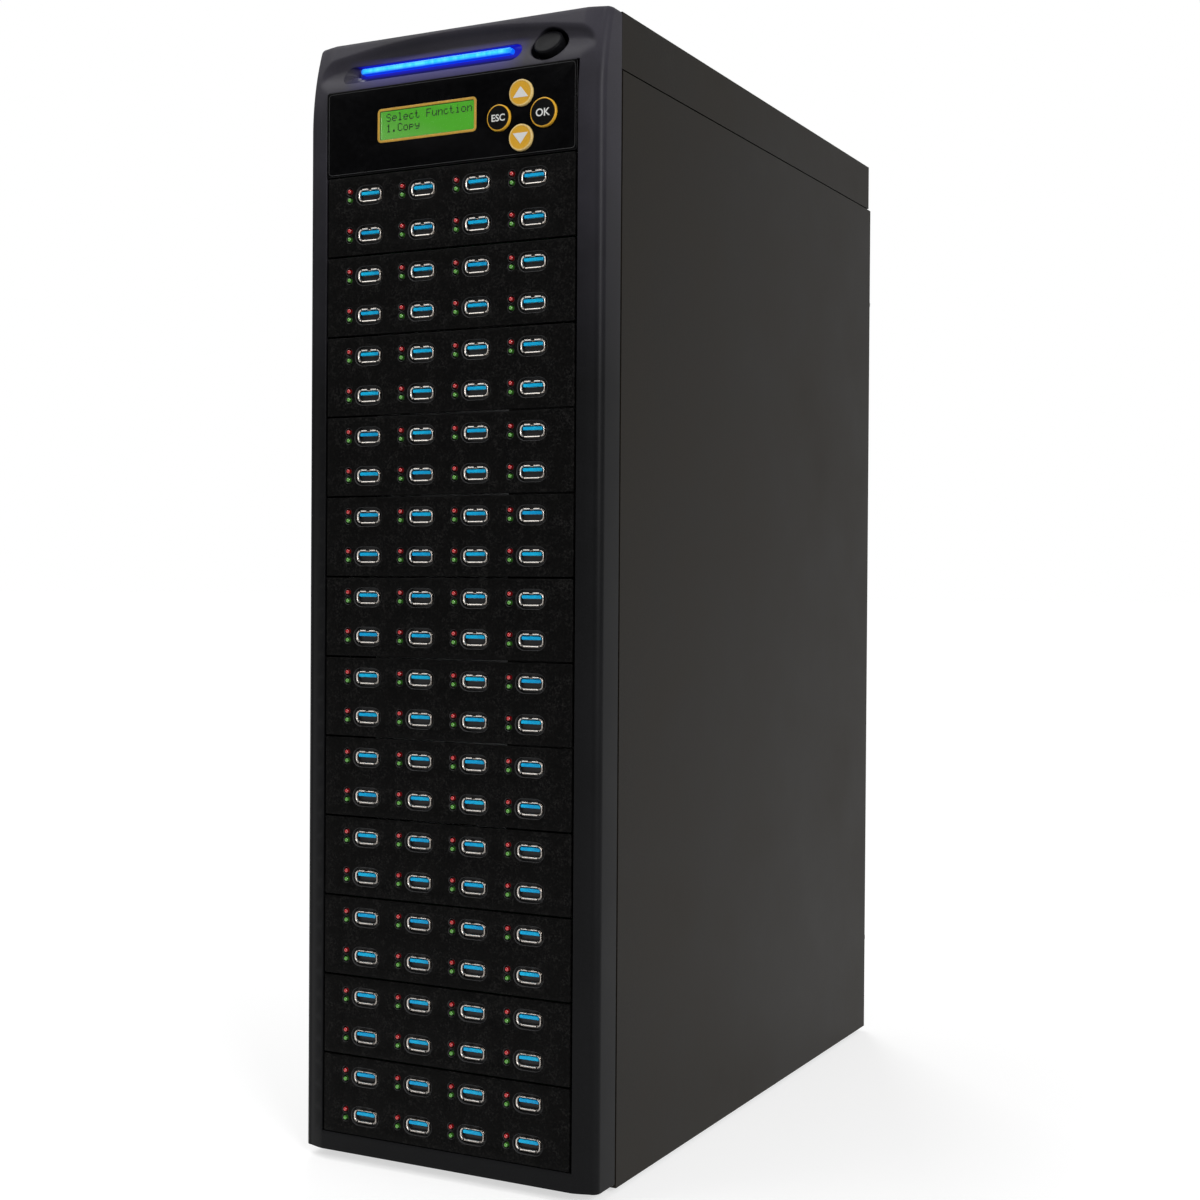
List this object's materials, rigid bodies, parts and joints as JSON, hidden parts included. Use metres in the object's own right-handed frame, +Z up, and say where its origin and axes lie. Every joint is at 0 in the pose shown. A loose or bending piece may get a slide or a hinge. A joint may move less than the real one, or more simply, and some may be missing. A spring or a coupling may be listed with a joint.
{
  "type": "drive duplicator tower",
  "caption": "Tall steel tower for copying flash drives: rows of USB sockets with status lamps in its front bays, a small display with keys, a lit strip and a push switch above.",
  "frame": {"origin": "on the floor under the middle of the whole tower's box", "axes": "+Z up, +X to the right seen from the front, +Y from the front to the back"},
  "size_m": [0.177, 0.4152, 0.596],
  "materials": {
    "foot_rubber": "matt moulded rubber",
    "zinc_steel": "zinc-plated sheet",
    "case_paint": "fine-textured black powder coat",
    "black_screw": "black oxide",
    "plated_screw": "nickel-plated",
    "bezel_plastic": "satin moulded plastic",
    "button_plastic": "satin black",
    "black_plastic": "moulded black",
    "strip_lens": "lit diffusing lens",
    "circuit_board": "solder mask",
    "panel_gloss": "smooth black overlay",
    "gold_key": "gold print",
    "black_key": "black with a gold ring",
    "lcd_green": "lit green display",
    "clear_window": "clear acrylic",
    "module_face": "fine spark-eroded texture",
    "socket_steel": "nickel-plated shell",
    "socket_blue": "blue insulator",
    "lamp_red": "tinted lens",
    "lamp_green": "tinted lens",
    "supply_steel": "dark painted sheet",
    "pin_brass": "plated pins",
    "rocker_plastic": "black rocker"
  },
  "bodies": {
    "tower": {"feet": "foot_rubber", "chassis_frame": "zinc_steel", "top_cover": "case_paint", "rear_panel": "case_paint", "rear_screws": "plated_screw", "front_bezel": "bezel_plastic", "power_switch": "black_plastic", "light_strip": "strip_lens", "strip_board": "circuit_board", "control_faceplate": "panel_gloss", "lcd_module": "lcd_green", "lcd_window": "clear_window", "lcd_surround": "gold_key", "control_board": "circuit_board", "usb_shells": "socket_steel", "usb_tongues": "socket_blue", "red_leds": "lamp_red", "green_leds": "lamp_green", "power_supply": "supply_steel", "power_inlet": "black_plastic", "inlet_pins": "pin_brass", "lower_fan_frame": "black_plastic", "upper_fan_frame": "black_plastic", "port_faceplate_01": "module_face", "port_faceplate_02": "module_face", "port_faceplate_03": "module_face", "port_faceplate_04": "module_face", "port_faceplate_05": "module_face", "port_faceplate_06": "module_face", "port_faceplate_07": "module_face", "port_faceplate_08": "module_face", "port_faceplate_09": "module_face", "port_faceplate_10": "module_face", "port_faceplate_11": "module_face", "port_faceplate_12": "module_face", "port_board_01": "circuit_board", "port_board_02": "circuit_board", "port_board_03": "circuit_board", "port_board_04": "circuit_board", "port_board_05": "circuit_board", "port_board_06": "circuit_board", "port_board_07": "circuit_board", "port_board_08": "circuit_board", "port_board_09": "circuit_board", "port_board_10": "circuit_board", "port_board_11": "circuit_board", "port_board_12": "circuit_board"},
    "right_panel": {"right_side_panel": "case_paint", "right_thumbscrews": "black_screw"},
    "left_panel": {"left_side_panel": "case_paint", "left_thumbscrews": "black_screw"},
    "power_button": {"power_button": "button_plastic"},
    "up_button": {"up_button": "gold_key"},
    "down_button": {"down_button": "gold_key"},
    "esc_button": {"esc_button": "black_key"},
    "ok_button": {"ok_button": "black_key"},
    "power_rocker": {"power_rocker": "rocker_plastic"},
    "psu_fan": {"psu_fan_rotor": "black_plastic"},
    "lower_fan": {"lower_fan_rotor": "black_plastic"},
    "upper_fan": {"upper_fan_rotor": "black_plastic"}
  },
  "joints": [
    {"name": "right_panel_slide", "type": "slide", "parent": "tower", "child": "right_panel", "axis": [0, 1, 0], "range_m": [0, 0.015]},
    {"name": "left_panel_slide", "type": "slide", "parent": "tower", "child": "left_panel", "axis": [0, 1, 0], "range_m": [0, 0.015]},
    {"name": "power_button_press", "type": "slide", "parent": "tower", "child": "power_button", "axis": [0, 0.829, -0.5592], "range_m": [0, 0.002], "stiffness_N_per_m": 700, "springref_m": -0.001},
    {"name": "up_button_press", "type": "slide", "parent": "tower", "child": "up_button", "axis": [0, 1, 0], "range_m": [0, 0.0008], "stiffness_N_per_m": 900, "springref_m": -0.0008},
    {"name": "down_button_press", "type": "slide", "parent": "tower", "child": "down_button", "axis": [0, 1, 0], "range_m": [0, 0.0008], "stiffness_N_per_m": 900, "springref_m": -0.0008},
    {"name": "esc_button_press", "type": "slide", "parent": "tower", "child": "esc_button", "axis": [0, 1, 0], "range_m": [0, 0.0008], "stiffness_N_per_m": 900, "springref_m": -0.0008},
    {"name": "ok_button_press", "type": "slide", "parent": "tower", "child": "ok_button", "axis": [0, 1, 0], "range_m": [0, 0.0008], "stiffness_N_per_m": 900, "springref_m": -0.0008},
    {"name": "power_rocker_tip", "type": "hinge", "parent": "tower", "child": "power_rocker", "pos_m": [0.048, 0.1901, 0.0316], "axis": [1, 0, 0], "range_deg": [-18, 0]},
    {"name": "psu_fan_spin", "type": "hinge", "parent": "tower", "child": "psu_fan", "pos_m": [-0.03, 0.1946, 0.0486], "axis": [0, 1, 0], "continuous": true},
    {"name": "lower_fan_spin", "type": "hinge", "parent": "tower", "child": "lower_fan", "pos_m": [0, 0.1946, 0.193], "axis": [0, 1, 0], "continuous": true},
    {"name": "upper_fan_spin", "type": "hinge", "parent": "tower", "child": "upper_fan", "pos_m": [0, 0.1946, 0.403], "axis": [0, 1, 0], "continuous": true}
  ]
}
